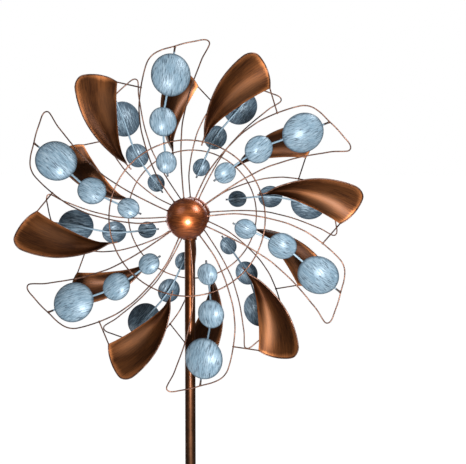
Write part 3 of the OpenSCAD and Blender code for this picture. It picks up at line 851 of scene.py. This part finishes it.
# Painted shade: the back rotor's vanes get a darker copy of the same copper finish, with less painted
# highlight.
vane_coppers = {
    "front": vane_copper_finish("vane_copper", dark=(0.045, 0.0135, 0.0042, 1),
                                light=(0.145, 0.049, 0.0135, 1), painted_sheen_amount=0.18),
    "back": vane_copper_finish("dark_vane_copper", dark=(0.032, 0.01, 0.0035, 1),
                               light=(0.10, 0.034, 0.011, 1), painted_sheen_amount=0.05)}
vane_set = Pattern("vane_set", Copies="Int", Step="Float", First_turn="Float", Centre="Vector")
vane_set.close(vane_set.copies(vane_set.inputs["Geometry"]))
for rotor in rotors:
    seat(grown(rotor.name + "_vane_set", vane(rotor), vane_set,
               Finish=vane_coppers[rotor.name], **rotor.spread()),
         rotor.body, "vane_copper", *[f"{rotor.name}_vane_{i}" for i in range(1, 7)])


# The vane wires. One wire starts on the ring, follows the vane's spine and outer edge, and
# runs on to the next petal loop. It is welded along the vane.

WIRE_IN, WELD_OUT = [(126, 41.5), (138, 40.9)], (236, 12.4)
BEFORE_SHEET, PAST_PETAL = 1.2, 0.4
vane_wires = wire_pattern("vane_wires")
for rotor in rotors:
    ring, points = rotor.ring_depth(), []
    points += [rotor.at(r, a, ring) for r, a in WIRE_IN]
    last_row, last_column = len(spine) - 1, len(outer) - 1
    for i, j in [(i, 0) for i in range(2, last_row)] + [(last_row, j) for j in range(last_column + 1)]:
        radius, angle, depth = vane_spot(i, j)
        points.append(rotor.at(radius, angle, ring + depth - BEFORE_SHEET))
    end = rotor.at(*WELD_OUT, petal_depth(WELD_OUT[0]) + PAST_PETAL)
    points += [points[-1].lerp(end, step) for step in (0.2, 0.4, 0.6, 0.8, 1.0)]
    seat(grown(rotor.name + "_edge_wires", trail(points), vane_wires, Wire=WIRE_R, Sides=12,
               Finish=bronze_wire, **rotor.spread()),
         rotor.body, "bronze_finish", rotor.name + "_vane_wires")


# The welds. Wherever a wire crosses another or enters a hub there is a small bead of weld,
# coated with the wire. The beads differ a little in size.

def weld_pattern():
    """A bead on each vertex of the base mesh, each of its own size, repeated round the axle."""
    made = Pattern("weld_beads", Bead="Float", Seed="Int", Copies="Int", Step="Float",
                   First_turn="Float", Centre="Vector")
    bead = made.node("GeometryNodeMeshIcoSphere", {}, {"Radius": made.inputs["Bead"], "Subdivisions": 3})
    uneven = made.node("FunctionNodeRandomValue", {"data_type": "FLOAT_VECTOR"},
                       {0: (0.8, 0.8, 0.8), 1: (1.25, 1.15, 1.25), "Seed": made.inputs["Seed"]})
    beads = made.node("GeometryNodeInstanceOnPoints", {},
                      {"Points": made.inputs["Geometry"], "Instance": bead, "Scale": uneven})
    return made.close(made.copies(beads))


welds, bead_r, bead_seed = weld_pattern(), 1.9 * MM, 7
for rotor in rotors:
    crossing, spots = rotor.ring_r / MM / rotor.k, []
    near_hub = rotor.hub_r / MM / rotor.k
    ring_depth = rotor.ring_depth()
    for line, lift in ((PETAL[:8], 1.0), (PETAL[:-9:-1], 1.0), (DISCS[:0:-1], 1.4)):
        spots.append(rotor.at(crossing, np.interp(crossing, *np.array(line).T), ring_depth - lift))
    spots.append(rotor.at(crossing, 41.2, ring_depth - 1.2))
    spots.append(rotor.at(*ROD_OUT, petal_depth(ROD_OUT[0])))
    spots.append(rotor.at(*WELD_OUT, petal_depth(WELD_OUT[0]) + 0.2))
    spots += [rotor.at(near_hub, angle, 0.3) for angle in (30.2, 1.0)]
    seat(grown(rotor.name + "_weld_beads", trail(spots), welds, Bead=bead_r, Seed=bead_seed,
               Finish=bronze_wire, **rotor.spread()), rotor.body, "bronze_finish")


# The floor, the light and the camera. A pale floor under a plain pale room, with one small
# soft light close to the line of sight, two to the sides and two behind.

def pale_floor():
    paint = Finish("floor", Roughness=0.9, Emission_Strength=0.95)
    cloud = paint.noise(paint.place(), 1.5, 2.0)
    paint.set("Base Color", paint.mix(cloud, (0.45, 0.45, 0.45, 1), (0.50, 0.50, 0.50, 1)))
    seen = paint.node("LightPath", {}, {}, "Is Camera Ray")
    paint.set("Emission Color", paint.mix(seen, (0, 0, 0, 1), (1, 1, 1, 1)))
    return paint.material


floor, floor_half, floor_gap = bmesh.new(), 600, 1 * MM
bmesh.ops.create_grid(floor, x_segments=2, y_segments=2, size=floor_half)
floor.transform(Matrix.Translation((0, 0, cad_box[0][2] - floor_gap)))
piece("floor", floor, pale_floor())

world = bpy.data.worlds.new("room")
bpy.context.scene.world = world
world.use_nodes = True
room = world.node_tree
room.nodes.clear()
seen = room.nodes.new("ShaderNodeLightPath")
both = room.nodes.new("ShaderNodeMixShader")
output = room.nodes.new("ShaderNodeOutputWorld")
room.links.new(seen.outputs["Is Camera Ray"], both.inputs["Fac"])
for slot, colour, strength in ((1, (0.97, 0.98, 1.0, 1), 0.13), (2, (1, 1, 1, 1), 1.0)):
    paper = room.nodes.new("ShaderNodeBackground")
    paper.inputs["Color"].default_value, paper.inputs["Strength"].default_value = colour, strength
    room.links.new(paper.outputs[0], both.inputs[slot])
room.links.new(both.outputs[0], output.inputs["Surface"])

hub_spot = rotors[0].centre
for name, offset, size, power in (("key_light", (0.3, -1.88, -0.57), 0.42, 57),
                                  ("right_light", (1.5, -0.27, 1.6), 0.9, 30),
                                  ("left_light", (-1.05, -1.2, 1.65), 1.5, 8),
                                  ("rear_light", (0.6, 2.6, 1.0), 1.8, 26),
                                  ("rear_low_light", (-1.3, 2.3, -0.5), 1.6, 16)):
    lamp = bpy.data.lights.new(name, "AREA")
    lamp.shape, lamp.size, lamp.energy = "DISK", size, power
    holder = bpy.data.objects.new(name, lamp)
    holder.location = hub_spot + Vector(offset)
    holder.rotation_euler = (-Vector(offset)).to_track_quat("-Z", "Y").to_euler()
    bpy.context.scene.collection.objects.link(holder)

lens = bpy.data.cameras.new("camera")
lens.sensor_width, lens.lens = 36, 70.84
camera = bpy.data.objects.new("camera", lens)
camera.location = hub_spot + Vector((0.097, -1.554, 0.077))
camera.rotation_euler = (math.radians(90 - 3.67), 0, math.radians(0.69))
bpy.context.scene.collection.objects.link(camera)
bpy.context.scene.camera = camera
bpy.context.scene.view_settings.view_transform = "Standard"
